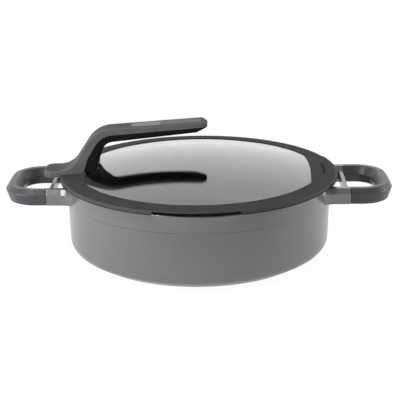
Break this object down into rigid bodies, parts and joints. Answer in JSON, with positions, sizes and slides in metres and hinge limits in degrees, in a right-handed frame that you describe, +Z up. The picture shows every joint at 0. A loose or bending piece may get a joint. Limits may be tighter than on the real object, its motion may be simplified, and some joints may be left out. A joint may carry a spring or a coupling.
{
  "type": "saute pan with lid",
  "caption": "Wide straight-walled saute pan with two side grips, pour lips and a domed glass lid with a dark rim and a one-legged raised handle.",
  "frame": {"origin": "centre of the flat base, on the surface that the pan stands on", "axes": "+X towards the right grip, along both side grips; +Y towards the strainer side of the lid, away from the pour slot; +Z up"},
  "size_m": [0.416, 0.2974, 0.1438],
  "materials": {
    "coated_aluminium": "satin grey baked coating on cast aluminium",
    "lining": "dark non-stick lining, finely speckled",
    "base_steel": "turned ferritic steel",
    "grip_plastic": "dark grey moulded, satin",
    "ferrule_steel": "bright",
    "screw_steel": "plain",
    "lid_glass": "clear tempered, polished",
    "rim_silicone": "dark grey, matt",
    "cover_soft_touch": "grey soft-touch, satin",
    "core_black": "black, semi-matt",
    "inlay_satin": "light grey satin",
    "insert_brass": "plain",
    "gasket_silicone": "black",
    "plate_steel": "satin",
    "bushing_plastic": "black"
  },
  "bodies": {
    "pan": {"pan_body": "coated_aluminium", "nonstick_lining": "lining", "induction_disc": "base_steel", "right_grip": "grip_plastic", "left_grip": "grip_plastic", "grip_ferrules": "ferrule_steel", "grip_screws": "screw_steel"},
    "lid": {"lid_glass": "lid_glass", "lid_rim": "rim_silicone", "handle_cover": "cover_soft_touch", "handle_core": "core_black", "handle_inlay": "inlay_satin", "handle_inserts": "insert_brass", "handle_gasket": "gasket_silicone", "handle_backing_plate": "plate_steel", "glass_bushings": "bushing_plastic", "handle_screws": "screw_steel"}
  },
  "joints": [
    {"name": "lid_lift", "type": "slide", "parent": "pan", "child": "lid", "axis": [0, 0, 1], "range_m": [0, 0.15]}
  ]
}
